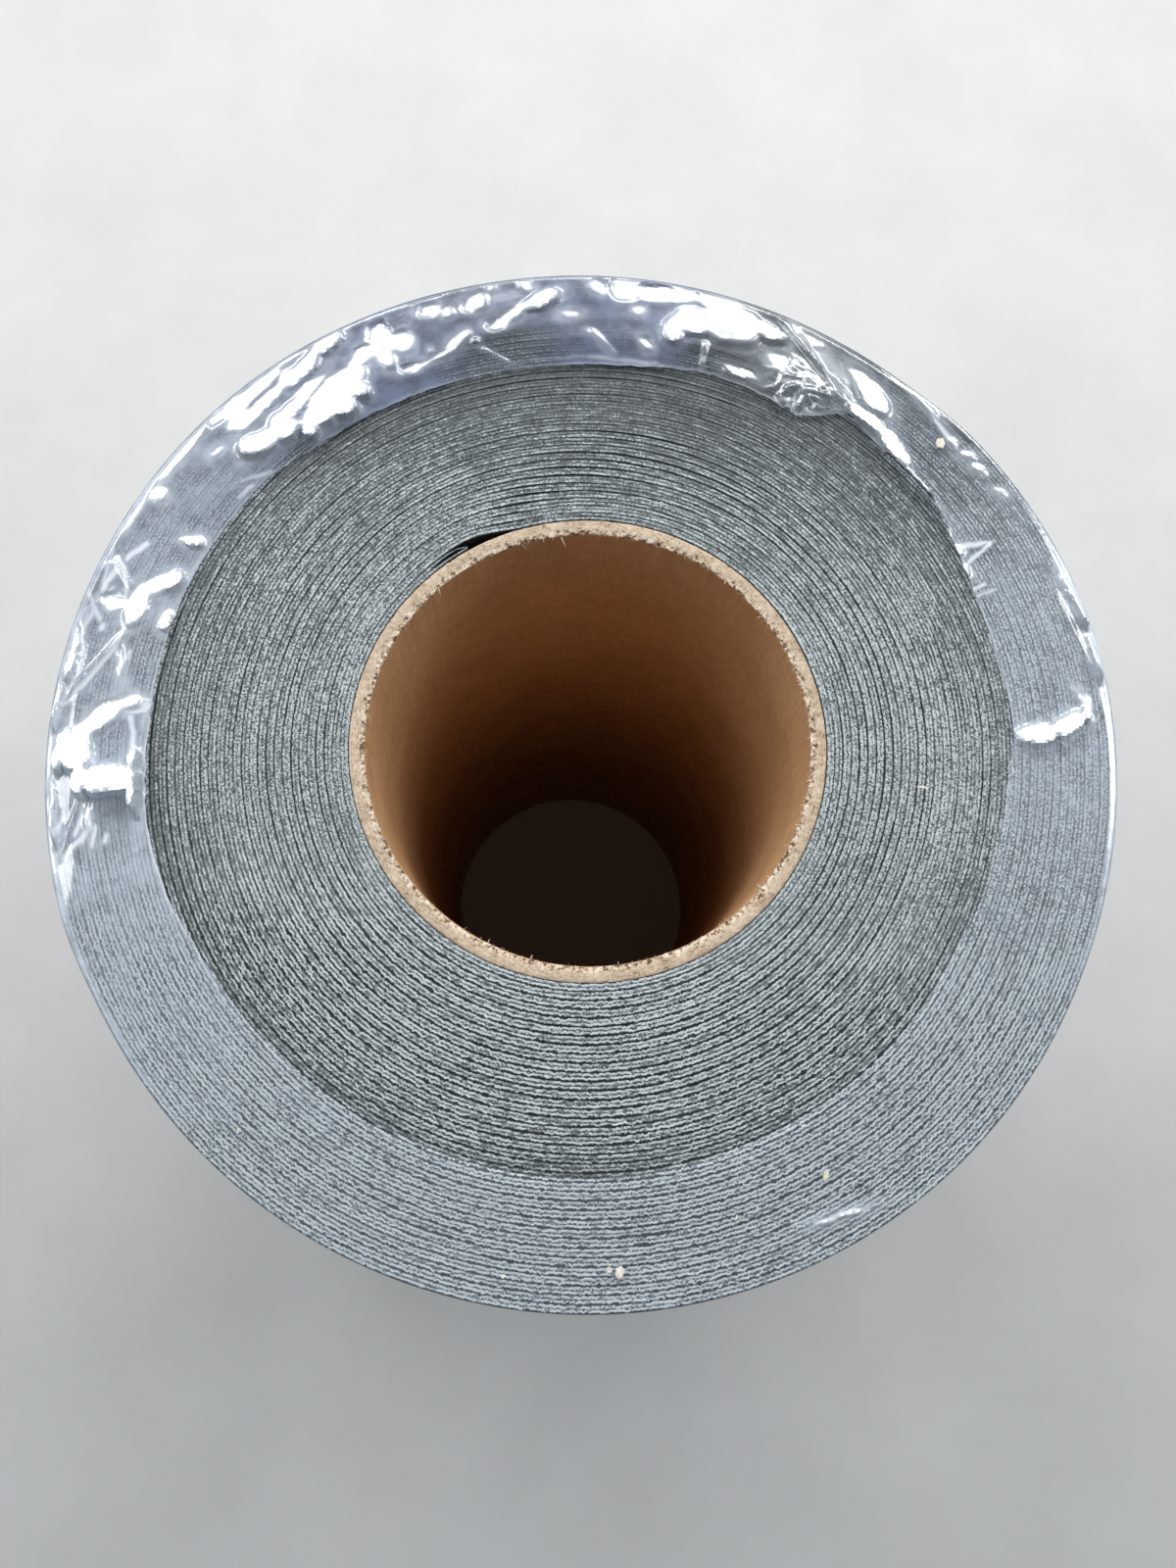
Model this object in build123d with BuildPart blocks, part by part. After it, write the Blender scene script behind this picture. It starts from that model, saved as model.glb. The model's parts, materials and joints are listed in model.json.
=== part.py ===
import os
from math import cos, degrees, pi, radians, sin, sqrt

from build123d import *

# A roll of damp proof course stands on end: a long polythene strip wound on a
# paperboard tube and held by a shrunk sleeve of clear film. Millimetres, +Z up,
# with the origin in the middle of the bottom end, where the film meets the floor.

# The strip
sheet_width = 225.0  # the height of the standing roll
sheet_length = 30000.0
layer_pitch = 0.69  # what one embossed layer takes up in the roll
layers_per_ring = 5  # layers that lie level with each other at the ends
ring_stagger = 0.8  # how unevenly the rings of layers were wound, along the axis
stagger_levels = 5
roll_edge_bevel = 1.0  # the film pulls the outermost layers in at both ends

# The tail, where the strip ends on the outside of the roll
tail_angle = 205.0
tail_lift_angle = 50.0  # the turn under the tail comes up over this much of a turn

# The start, where the strip is folded back on itself against the core
start_angle = 128.0  # the closed end of the fold
start_gap_angle = 22.0  # the open wedge ahead of the fold
start_gap_depth = 1.5
fold_hollow_angle = 14.0  # the space inside the fold
fold_hollow_depth = 0.8

# The core
core_bore_diameter = 76.2
core_wall = 2.75
core_clearance = 0.1  # between the core and the first layer

# The film
film_thickness = 0.15
film_clearance = 0.15  # between the film and the last layer
film_fold = 18.0  # how far the film reaches in over each end
opening_offset = 1.7  # the film's openings shrank a little off centre
opening_offset_angle = 350.0

# What follows from the values above
core_outer_radius = core_bore_diameter / 2 + core_wall
roll_inner_radius = core_outer_radius + core_clearance
roll_outer_radius = sqrt(roll_inner_radius**2 + sheet_length * layer_pitch / pi)
wound_depth = roll_outer_radius - roll_inner_radius
ring_count = round(wound_depth / (layers_per_ring * layer_pitch))
ring_pitch = wound_depth / ring_count
film_inner_radius = roll_outer_radius + film_clearance
film_outer_radius = film_inner_radius + film_thickness
roll_bottom = film_thickness  # the lowest rings stand on the film
roll_height = sheet_width + ring_stagger
film_height = roll_height + 2 * film_thickness
opening_radius = roll_outer_radius - film_fold
hollow_radius = roll_inner_radius + layer_pitch
hollow_angle = start_angle + degrees(layer_pitch / hollow_radius)


def polar(radius, angle):
    """The point at a radius and an angle about the roll's axis."""
    return (radius * cos(radians(angle)), radius * sin(radians(angle)))


def ring_shift(ring):
    """How far up the axis a ring of layers lies, stepped about so that no two like ones touch."""
    return ring_stagger * (2 * ring % stagger_levels) / (stagger_levels - 1)


def crescent(radius, depth, start, sweep):
    """A thin region against a circle: depth deep at the start and none at the end."""
    foot = polar(radius + depth, start)
    middle = polar(radius + depth / 2, start + sweep / 2)
    tip = polar(radius, start + sweep)
    with BuildSketch() as region:
        with BuildLine():
            Line(polar(radius, start), foot)
            ThreePointArc(foot, middle, tip)
            ThreePointArc(tip, polar(radius, start + sweep / 2), polar(radius, start))
        make_face()
    return region.sketch


# The core: a plain paperboard tube, as long as the strip is wide
with BuildPart() as core_tube:
    with BuildSketch(Plane.XY.offset(roll_bottom + ring_stagger / 2)):
        Circle(core_outer_radius)
        Circle(core_bore_diameter / 2, mode=Mode.SUBTRACT)
    extrude(amount=sheet_width)

# The wound strip: one turned solid. Each ring of layers is as tall as the strip is wide
# and lies a little higher or lower than its neighbours, so the turns show on the ends
with BuildPart() as membrane_roll:
    with BuildSketch(Plane.XZ) as half_section:
        for ring in range(ring_count):
            with Locations((roll_inner_radius + ring * ring_pitch, roll_bottom + ring_shift(ring))):
                Rectangle(ring_pitch, sheet_width, align=Align.MIN)
        chamfer(half_section.vertices().group_by(Axis.X)[-1], roll_edge_bevel)
    revolve(axis=Axis.Z)

    # the step down where the tail ends, and the wedge left open ahead of the start
    with BuildSketch(Plane.XY.offset(roll_bottom)):
        add(crescent(roll_outer_radius, -layer_pitch, tail_angle, tail_lift_angle))
        add(crescent(roll_inner_radius, start_gap_depth, start_angle, -start_gap_angle))
    extrude(amount=roll_height, mode=Mode.SUBTRACT)

    # the space inside the folded start, one layer away from the core and from the wedge
    with BuildSketch(Plane.XY.offset(roll_bottom)):
        add(crescent(hollow_radius, fold_hollow_depth, hollow_angle, fold_hollow_angle))
    extrude(amount=roll_height, mode=Mode.SUBTRACT)

# The film: a thin sleeve, shrunk over both ends as far as a round opening in each
with BuildPart() as wrap_film:
    with BuildSketch(Plane.XZ) as sleeve_section:
        Rectangle(film_outer_radius, film_height, align=Align.MIN)
        chamfer(sleeve_section.vertices().group_by(Axis.X)[-1], roll_edge_bevel)
    revolve(axis=Axis.Z)
    with BuildSketch(Plane.XZ) as roll_envelope:
        with Locations((0, roll_bottom)):
            Rectangle(film_inner_radius, roll_height, align=Align.MIN)
        chamfer(roll_envelope.vertices().group_by(Axis.X)[-1], roll_edge_bevel)
    revolve(axis=Axis.Z, mode=Mode.SUBTRACT)
    with BuildSketch():
        with Locations(polar(opening_offset, opening_offset_angle)):
            Circle(opening_radius)
    extrude(amount=film_height, mode=Mode.SUBTRACT)

os.makedirs("parts", exist_ok=True)
core_tube.part.label = "core_tube"
export_step(core_tube.part, "parts/core_tube.step")
membrane_roll.part.label = "membrane_roll"
export_step(membrane_roll.part, "parts/membrane_roll.step")
wrap_film.part.label = "wrap_film"
export_step(wrap_film.part, "parts/wrap_film.step")
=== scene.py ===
"""The looks of a roll of damp proof course that stands on end.

A black polythene strip is wound double on a paperboard tube, out from a fold that lies
against the tube. A sleeve of clear film is shrunk round it and in over both ends.
"""
import json
from math import cos, pi, radians, sin, tan, tau

import bpy
import numpy as np
from mathutils import Matrix, Vector, noise


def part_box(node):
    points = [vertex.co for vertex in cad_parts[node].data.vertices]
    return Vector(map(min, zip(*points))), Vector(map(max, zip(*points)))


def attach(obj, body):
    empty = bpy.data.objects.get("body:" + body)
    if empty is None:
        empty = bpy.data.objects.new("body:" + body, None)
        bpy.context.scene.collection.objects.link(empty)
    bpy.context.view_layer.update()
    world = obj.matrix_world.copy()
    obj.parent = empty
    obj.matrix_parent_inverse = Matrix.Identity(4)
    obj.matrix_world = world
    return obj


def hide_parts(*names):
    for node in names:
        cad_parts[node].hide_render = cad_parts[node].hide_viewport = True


MM = 0.001
SHARP_ANGLE = 38
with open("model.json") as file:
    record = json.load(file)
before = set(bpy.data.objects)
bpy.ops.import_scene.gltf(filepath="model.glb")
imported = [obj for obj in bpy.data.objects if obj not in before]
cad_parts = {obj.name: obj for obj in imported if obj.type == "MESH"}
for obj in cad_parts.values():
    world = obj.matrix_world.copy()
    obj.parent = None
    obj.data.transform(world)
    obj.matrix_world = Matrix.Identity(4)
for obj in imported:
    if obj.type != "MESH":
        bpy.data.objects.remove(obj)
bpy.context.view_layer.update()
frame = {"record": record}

# Sizes that come from the frame
core_low, core_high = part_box("core_tube")
roll_low, roll_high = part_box("membrane_roll")
_, film_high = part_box("wrap_film")
bore_mount = next(m for m in frame["record"]["mounts"] if m["name"] == "core_bore")
CORE_BORE = bore_mount["dims"]["r_mm"] * MM
CORE_OUTER = core_high.x
ROLL_INNER = CORE_OUTER + 0.1 * MM
ROLL_OUTER = roll_high.x
STRIP_WIDTH = core_high.z - core_low.z
STAGGER = roll_high.z - roll_low.z - STRIP_WIDTH
FILM_TOP = film_high.z

# The strip
LAYER_PITCH = 0.69 * MM
PLY_SPACING = 0.66 * MM  # the two plies of a turn lie closer than one turn to the next
STRIP_THICKNESS = 0.65 * MM
FOLD_THICKNESS = 0.27 * MM  # the emboss is pressed flat where the strip is folded
STATION_STEP = 1.32 * MM
FOLD_ANGLE = 128.5
INNER_TAIL_ANGLE = 46.0  # the inner ply ends first, and the outer one drops onto the turn below
OUTER_TAIL_ANGLE = 205.0
WEDGE_ANGLE = 16.0  # the first turn climbs onto the fold over this much
WEDGE_GROWTH = 1.17  # and each later one spreads the climb by this factor
EVEN_TURNS = 16  # until the climb is even
FOLD_HUMP = 0.3 * MM  # how far the hollow fold lifts the turns over it
FOLD_HUMP_ANGLE = 15.0
FOLD_HUMP_TURNS = 5  # how many turns it takes to fade
FOLD_FLAT_ANGLE = 17.0  # the emboss stands up again over this much
FOLD_NIP_ANGLE = 1.4  # how soon the two plies part, past their fold
TAIL_DROP_ANGLE = 9.0  # how soon the outer ply comes down past the end of the inner one
LAST_RADIUS = ROLL_OUTER + 0.65 * MM  # where the inner ply ends
# How far out of round the roll is, in mm at its outside
OUT_OF_ROUND = [
    (0, -0.6), (20, 0.0), (35, -0.3), (48, -0.6), (60, -1.0), (110, -1.0), (140, -0.1), (205, 0.1),
    (225, 0.0), (260, 0.4), (280, 0.55), (300, 0.3), (320, -0.1), (345, -0.8),
]

# The film
FILM_COLUMNS = 1200
FILM_END_ROWS = 54
FILM_SIDE_ROWS = 15
FILM_REACH = 0.80  # the share of the roll's radius at which it ends, more or less
FILM_BAND = 0.19  # and the share that it covers, short of its round corner
FILM_CORNER = 0.7 * MM
BRIDGE_ANGLE = 12  # how far it spans the step at each ply's end
SIDE_HAZE = 0.04
# Its inner edge, as an angle about the axis and a share of the roll's radius
FILM_EDGE = [
    (0, 0.79), (8, 0.806), (20, 0.802), (30, 0.81), (34, 0.818), (42.5, 0.84), (51, 0.838),
    (59.5, 0.856), (61.5, 0.832), (64.9, 0.793), (67, 0.797), (71, 0.801), (79, 0.806), (90, 0.787),
    (105, 0.783), (120, 0.79), (138, 0.8), (147, 0.82), (165, 0.824), (186, 0.82), (198, 0.825),
    (208, 0.817), (216, 0.803), (240, 0.791), (278, 0.788), (309, 0.781), (339, 0.777),
]
# How slack it lies over the end, from 0 where it is drawn flat
FILM_SLACK = [
    (0, 0.08), (30, 0.08), (54, 0.05), (60, 0.3), (68, 0.8), (90, 1.0), (140, 1.0), (165, 0.9),
    (176, 0.9), (183, 0.6), (202, 0.5), (211, 0.2), (222, 0.08), (240, 0.04), (320, 0.03),
    (348, 0.05),
]
# How hazy it looks, a veil that is partly the film's own haze and partly painted reflection of the
# sky, and how much of it is the painted blue sky of film that stands off, whose gloss is also
# rougher
FILM_HAZE_AND_REFLECTION = [
    (0, 0.23), (20, 0.22), (36, 0.14), (44, 0.06), (60, 0.1), (68, 0.34), (78, 0.36), (86, 0.6),
    (101, 0.62), (105, 0.46), (115, 0.46), (120, 0.62), (134, 0.6), (142, 0.46), (152, 0.42),
    (165, 0.36), (178, 0.34), (186, 0.38), (203, 0.36), (216, 0.22), (240, 0.12), (270, 0.08),
    (295, 0.05), (315, 0.06), (340, 0.12),
]
FILM_DULL = [
    (54, 0.0), (68, 0.8), (85, 1.0), (130, 1.0), (142, 0.7), (152, 0.5), (165, 0.25), (185, 0.12),
    (205, 0.0),
]
# How pale its outermost band is painted where it is drawn over the rim: a painted highlight
FILM_RIM_HIGHLIGHT = [
    (0, 0.45), (12, 0.6), (16, 0.85), (26, 0.85), (30, 0.35), (36, 0.1), (42, 0.0), (140, 0.0),
    (150, 0.3), (180, 0.4), (197, 0.5), (214, 0.4), (224, 0.15), (234, 0.0), (338, 0.0),
    (350, 0.35),
]
# Where it lies down beside its inner edge and shows the strip: angle, half width, radius share
FILM_CLEAR = [(109, 9, 0.872), (79, 6, 0.868), (142, 4, 0.83)]
# How pale its cut inner edge shows: a painted highlight along the edge
FILM_EDGE_HIGHLIGHT = [
    (0, 0.15), (12, 0.3), (30, 0.4), (45, 0.6), (62, 0.8), (80, 0.6), (92, 0.4), (106, 0.25),
    (130, 0.1), (165, 0.15), (182, 0.4), (188, 0.9), (204, 1.0), (213, 0.6), (224, 0.15),
    (270, 0.06), (340, 0.06),
]
# Where its outermost band leans outwards
FILM_RIM_LEAN = [
    (352, 0.0), (4, 0.2), (12, 0.7), (26, 0.7), (34, 0.2), (40, 0.0), (90, 0.0), (174, 0.0),
    (181, 1.0), (201, 1.0), (207, 0.1), (214, 0.0),
]

# The photograph's viewpoint, found in radii of the film, and the soft lamps that the film reflects
CAMERA_PLACE = Vector((0.008, -0.60, 2.24)) * 91.2 * MM + Vector((0, 0, FILM_TOP))
CAMERA_TILT = 13
CAMERA_TURN = 7
CAMERA_LENS = 28.46
LAMP_DISTANCE = 1.1
# Azimuth, elevation and half angles as seen from the roll's end, and radiance
KEY_LAMPS = [("key_left", 130, 37, (17, 9), 7.5), ("key_top", 76, 35, (18.5, 9), 7.2)]
SIDE_LAMPS = [("left", 172, 45, (10, 11), 3.6), ("right", 32, 41, (12, 12), 4.8)]
FLOOR_HALF = 2.5

rng = np.random.default_rng(11)


def smooth(t):
    """0 to 1 with level ends."""
    t = np.clip(t, 0, 1)
    return t * t * (3 - 2 * t)


def keyed(pairs, degrees):
    """The value at each angle, read between (angle, value) pairs round the roll."""
    angles, values = zip(*pairs)
    return np.interp(degrees, angles, values, period=360)


def field(points, size, seed):
    """Smooth noise from about -1 to 1 at each point, with bumps of about that size in mm.

    The points may also be flat, or distances along a line.
    """
    points = np.reshape(points, (len(points), -1))
    points = np.pad(points, ((0, 0), (0, 3 - points.shape[1])))
    shift = Vector((17.3, 5.1, 9.7)) * seed
    return np.array([noise.noise(Vector(p) / (size * MM) + shift) for p in points])


def stray(places, size, seed):
    """Noise that moves flat places sideways."""
    return np.column_stack([field(places, size, seed), field(places, size, seed + 1)])


def mesh_object(name, points, faces, material):
    """A shaded mesh object of quads or triangles, given as arrays."""
    mesh = bpy.data.meshes.new(name)
    mesh.from_pydata([tuple(p) for p in points], [], [tuple(f) for f in faces])
    mesh.materials.append(material)
    mesh.shade_smooth()
    mesh.set_sharp_from_angle(angle=radians(SHARP_ANGLE))
    piece = bpy.data.objects.new(name, mesh)
    bpy.context.scene.collection.objects.link(piece)
    return piece


def store(piece, name, values):
    """A vector at each point of the mesh, for the material."""
    attribute = piece.data.attributes.new(name, "FLOAT_VECTOR", "POINT")
    attribute.data.foreach_set("vector", np.asarray(values, np.float32).ravel())


def grid_faces(rows, columns, closed_rows=False, closed_columns=False):
    """The quads of a grid whose points run along the columns first."""
    i = np.arange(rows if closed_rows else rows - 1)
    j = np.arange(columns if closed_columns else columns - 1)
    i, j = (a.ravel() for a in np.meshgrid(i, j, indexing="ij"))
    up, across = (i + 1) % rows, (j + 1) % columns
    return np.stack(
        [i * columns + j, up * columns + j, up * columns + across, i * columns + across], axis=1
    )


# Materials
class Value:
    """What a node gives out; arithmetic on it adds Math nodes."""

    def __init__(self, nodes, socket):
        self.nodes, self.socket = nodes, socket

    def __add__(self, other):
        return self.nodes.calc("ADD", self, other)

    def __sub__(self, other):
        return self.nodes.calc("SUBTRACT", self, other)

    def __rsub__(self, other):
        return self.nodes.calc("SUBTRACT", other, self)

    def __mul__(self, other):
        return self.nodes.calc("MULTIPLY", self, other)

    def __truediv__(self, other):
        return self.nodes.calc("DIVIDE", self, other)

    def at_least(self, other):
        return self.nodes.calc("MAXIMUM", self, other)

    def at_most(self, other):
        return self.nodes.calc("MINIMUM", self, other)

    def climb(self, low, high, start=0.0, end=1.0):
        """A smooth climb from start to end as the value goes from low to high."""
        limits = {0: self, 1: low, 2: high, 3: start, 4: end}
        return self.nodes.add("MapRange", limits, interpolation_type="SMOOTHSTEP")


class Nodes:
    """A node tree, with short ways to add to it."""

    def __init__(self, tree):
        self.tree = tree

    def add(self, kind, inputs=None, output=0, **settings):
        """What a new node gives out; an input is a plain value or another node's."""
        node = self.tree.nodes.new("ShaderNode" + kind)
        for key, value in settings.items():
            setattr(node, key, value)
        for key, value in (inputs or {}).items():
            if isinstance(value, Value):
                self.tree.links.new(value.socket, node.inputs[key])
            else:
                node.inputs[key].default_value = value
        return Value(self, node.outputs[output])

    def calc(self, operation, *values):
        return self.add("Math", dict(enumerate(values)), operation=operation)

    def blend(self, share, first, second):
        return self.add("Mix", {0: share, 2: first, 3: second}, data_type="FLOAT")

    def blend_colours(self, share, first, second):
        return self.add("Mix", {0: share, 6: first, 7: second}, 2, data_type="RGBA")

    def ramp(self, value, *stops):
        """A colour ramp through (place, colour) stops."""
        colour = self.add("ValToRGB", {0: value})
        elements = colour.socket.node.color_ramp.elements
        while len(elements) < len(stops):
            elements.new(1.0)
        for element, (place, stop) in zip(elements, stops):
            element.position = place
            element.color = (*stop, 1.0)
        return colour

    def speckle(self, vector, size, detail=2.0, roughness=0.5):
        """Noise with bumps of that size in mm."""
        look = {"Scale": 1 / (size * MM), "Detail": detail, "Roughness": roughness}
        return self.add("TexNoise", {"Vector": vector, **look})

    def vector(self, x=0.0, y=0.0, z=0.0):
        return self.add("CombineXYZ", {0: x, 1: y, 2: z})

    def split(self, vector):
        """The three parts of a vector."""
        first = self.add("SeparateXYZ", {0: vector})
        return [Value(self, socket) for socket in first.socket.node.outputs]

    def stored(self, name):
        """The three parts of a vector that the mesh holds."""
        return self.split(self.add("Attribute", output="Vector", attribute_name=name))

    def place(self):
        """The point on the roll."""
        return self.add("TexCoord", output="Object")

    def polar(self, place):
        """A point's radius, its angle in radians, and its x, y and z."""
        x, y, z = self.split(place)
        return self.calc("SQRT", x * x + y * y), self.calc("ARCTAN2", y, x), x, y, z

    def level(self):
        """1 where the surface faces up or down, and 0 where it is upright."""
        return self.calc("ABSOLUTE", self.split(self.add("NewGeometry", output="True Normal"))[2])

    def principled(self, colour, roughness, **inputs):
        return self.add("BsdfPrincipled", {"Base Color": colour, "Roughness": roughness, **inputs})

    def surface(self, shader):
        output = self.tree.nodes.new("ShaderNodeOutputMaterial")
        self.tree.links.new(shader.socket, output.inputs["Surface"])


def new_material(name):
    material = bpy.data.materials.new(name)
    material.use_nodes = True
    material.node_tree.nodes.clear()
    return material, Nodes(material.node_tree)


def cut_edge_tone(nodes):
    """How pale the cut edge of the strip is, from 0 in the gaps and pits to about 1, with painted
    shade on the near side and a painted shadow beside the film's edge.
    """
    place = nodes.place()
    radius, angle, x, y, _ = nodes.polar(place)
    along, across, turn = nodes.stored("strip")
    cover, beside, _ = nodes.stored("film_cover_and_shadow")

    def crinkle(size, shift):
        """Noise along the strip alone."""
        return nodes.speckle(nodes.vector(along, turn + shift), size, 1.0)

    def line(at, width):
        """A line along the strip, at a place across the pair of plies."""
        return nodes.calc("ABSOLUTE", across - at).climb(width * 0.5, width, 1.0, 0.0)

    left = (x / -ROLL_OUTER).climb(0.0, 0.5)
    # lee is the near side, where painted shade darkens the lines between the pairs
    lee = (y / -ROLL_OUTER).climb(0.15, 0.50)
    top = (y / ROLL_OUTER).climb(0.15, 0.60)

    # across runs from 0 to 1 over the pair of plies; the emboss makes it waver
    waver = (crinkle(1.2, 0.0) - 0.5) * 0.50 + (crinkle(0.45, 0.031) - 0.5) * 0.45
    across = across + waver * (lee * 0.70 + 0.30)
    slow = crinkle(14, 0.053).climb(0.38, 0.62)
    bite = crinkle(0.5, 0.011).climb(0.42, 0.60, 0.01, 0.11) + slow * 0.07
    outer_bite = (1.0 - across).climb(bite - 0.03, bite + 0.09)
    # the dark line between two pairs comes and goes, but not under the film; on the near side it is
    # painted at full strength as painted shade
    strength = crinkle(20, 0.061).climb(0.38, 0.58, 0.50, 1.0)
    strength = strength.at_least(lee).at_least(cover * 0.9)
    body = 1.0 - (1.0 - outer_bite * across.climb(-0.03, 0.06)) * strength

    # a dotted line where the two plies meet, rows of pits from the emboss, and ticks across
    steady = (top * 0.8).at_least(crinkle(16, 0.071).climb(0.50, 0.62))
    dots = crinkle(0.40, 0.023).climb(0.46, 0.58)
    dots = line(0.5, 0.12) * nodes.blend(steady, dots, 1.0)
    rows = nodes.calc("PINGPONG", across * 8.0, 1.0)
    pits = rows * 0.09 + nodes.speckle(place, 0.34, 1.0, 0.6)
    pits = pits.climb(left.at_least(cover) * -0.035 + 0.574, 0.65)
    ticks = nodes.speckle(nodes.vector(angle * (60 * MM), radius * 0.22), 0.42, 1.0)
    ticks = ticks.climb(0.52, 0.64) * (left * 0.10 + 0.12)
    grain = nodes.speckle(place, 0.17, 2.0, 0.7).climb(0.34, 0.64, 0.50, 1.20)

    # towards the near side two crinkled lines of each pair stay pale, with painted shade between
    # them for the shaded slopes of the rounded pair tops
    lines = line(0.22, 0.19).at_least(line(0.70, 0.18))
    broken = crinkle(1.3, 0.047).climb(0.40, 0.52, 0.40, 1.0)
    between = nodes.speckle(place, 0.34, 1.0, 0.6).climb(0.48, 0.66, 0.04, 0.80)
    lined = nodes.blend(lines * broken, between, 1.20)
    plain = (1.0 - dots * 0.72) * (1.0 - pits * (cover * 0.12 + 0.78)) * (1.0 - ticks)
    tone = body * grain * nodes.blend(lee * 0.9, plain, lined)

    # turns and patches differ; the far side is darker, and a painted shadow of the film's edge
    # darkens the ring next to the film
    patches = nodes.speckle(place, 13, 3.0, 0.6).climb(0.30, 0.70, 0.90, 1.10)
    turn_tone = nodes.speckle(nodes.vector(along * 0.03, turn), 0.9, 1.0)
    turn_tone = turn_tone.climb(0.3, 0.7, 0.88, 1.10)
    far = (y / ROLL_OUTER).climb(0.25, 0.92, 1.10, 0.25)
    mottle = nodes.speckle(place, 1.0, 2.0, 0.6).climb(0.38, 0.62, 0.80, 1.14)
    # streaks along each ply, strongest on the far side
    streaks = nodes.vector(along * 0.13, across * (2 * LAYER_PITCH) + turn)
    streaks = nodes.speckle(streaks, 0.5, 2.0, 0.6)
    streaks = streaks.climb(0.38, 0.62, top * -0.30 + 0.78, top * 0.26 + 1.16)
    # a painted shadow of the film's edge: darker in a ring next to it, and darker still within a
    # few mm of it, most towards the left
    film_edge_shadow_ring = (radius / ROLL_OUTER).climb(0.62, 0.79) * (1.0 - cover)
    near_shade = (x / ROLL_OUTER).climb(0.10, 0.60, 0.36, 0.12)
    shaded = (1.0 - film_edge_shadow_ring * 0.20) * (1.0 - beside * near_shade)
    return tone * patches * mottle * streaks * turn_tone * far * shaded, cover


def polythene():
    """Embossed black polythene, with pale speckled edges where it was cut."""
    material, nodes = new_material("embossed_polythene")
    tone, cover = cut_edge_tone(nodes)
    is_edge = nodes.calc("GREATER_THAN", nodes.level(), 0.6)
    open_colour = nodes.ramp(
        tone,
        (0.0, (0.012, 0.016, 0.018)), (0.45, (0.22, 0.25, 0.255)), (0.88, (0.72, 0.785, 0.795)),
    )
    # under the film the cut edges are painted paler and bluer: a painted reflection of the sky in
    # the film
    covered_reflection_colour = nodes.ramp(
        tone,
        (0.0, (0.012, 0.016, 0.022)), (0.40, (0.30, 0.345, 0.38)), (0.70, (0.92, 0.98, 1.00)),
    )
    edge_colour = nodes.blend_colours(cover, open_colour, covered_reflection_colour)

    # the face: fine ribs round the roll and a waffle between them
    radius, angle, _, _, z = nodes.polar(nodes.place())
    bands = {"Vector": nodes.vector(z), "Scale": 1 / (4.2 * MM), "Distortion": 0.5, "Detail": 1.0}
    ribs = nodes.add("TexWave", bands, 1, wave_type="BANDS")
    waffle = nodes.speckle(nodes.vector(angle * (91 * MM), z, radius), 0.9)
    relief = ribs * 0.7 + waffle
    face_colour = nodes.ramp(
        relief / 1.7, (0.25, (0.010, 0.013, 0.016)), (0.75, (0.042, 0.052, 0.060))
    )

    height = nodes.blend(is_edge, relief, tone)
    bump = nodes.add("Bump", {"Strength": 0.6, "Distance": 0.22 * MM, "Height": height})
    colour = nodes.blend_colours(is_edge, face_colour, edge_colour)
    nodes.surface(nodes.principled(colour, 0.55, Normal=bump))
    return material


def paperboard():
    """A spiral-wound brown paper tube with a pale, granular cut rim."""
    material, nodes = new_material("paperboard")
    place = nodes.place()
    radius, angle, _, _, z = nodes.polar(place)
    is_rim = nodes.level().climb(0.30, 0.50)

    plies = nodes.speckle(nodes.vector(angle * (13 * MM), radius), 0.26, 2.0, 0.6)
    grains = nodes.speckle(place, 0.40, 3.0, 0.7)
    blotches = nodes.speckle(place, 2.2)
    tone = plies * 0.45 + grains * 0.30 + blotches * 0.27
    # the torn inner edge is whiter in tufts and darker between them
    torn = radius.climb(CORE_BORE + 0.3 * MM, CORE_BORE + 1.5 * MM, 1.30, 0.0)
    tufts = nodes.speckle(place, 0.8, 2.0, 0.6) - 0.5
    tone = torn * tufts + tone
    rim_colour = nodes.ramp(
        tone,
        (0.35, (0.11, 0.062, 0.032)), (0.42, (0.34, 0.24, 0.15)), (0.48, (0.55, 0.415, 0.285)),
        (0.57, (0.67, 0.53, 0.39)), (0.69, (0.86, 0.76, 0.64)),
    )

    # the bore: brown liner paper, laid in a helix with a fine seam
    helix = nodes.calc("FRACT", z / (150 * MM) + angle / tau)
    seam = nodes.calc("LESS_THAN", helix, 0.003)
    fibres = nodes.speckle(nodes.vector(angle * (38 * MM), z * 0.5), 1.6, 4.0, 0.6)
    mottle = nodes.speckle(place, 14, 3.0, 0.6)
    wall_tone = fibres * 0.5 + mottle * 0.5
    wall_colour = nodes.ramp(wall_tone, (0.35, (0.475, 0.265, 0.123)), (0.65, (0.60, 0.355, 0.178)))
    wall_colour = nodes.blend_colours(seam * 0.5, wall_colour, (0.12, 0.05, 0.02, 1))

    height = nodes.blend(is_rim, fibres * 0.3, tone)
    bump = nodes.add("Bump", {"Strength": 0.5, "Distance": 0.3 * MM, "Height": height})
    colour = nodes.blend_colours(is_rim, wall_colour, rim_colour)
    nodes.surface(nodes.principled(colour, 0.75, Normal=bump))
    return material


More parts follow.
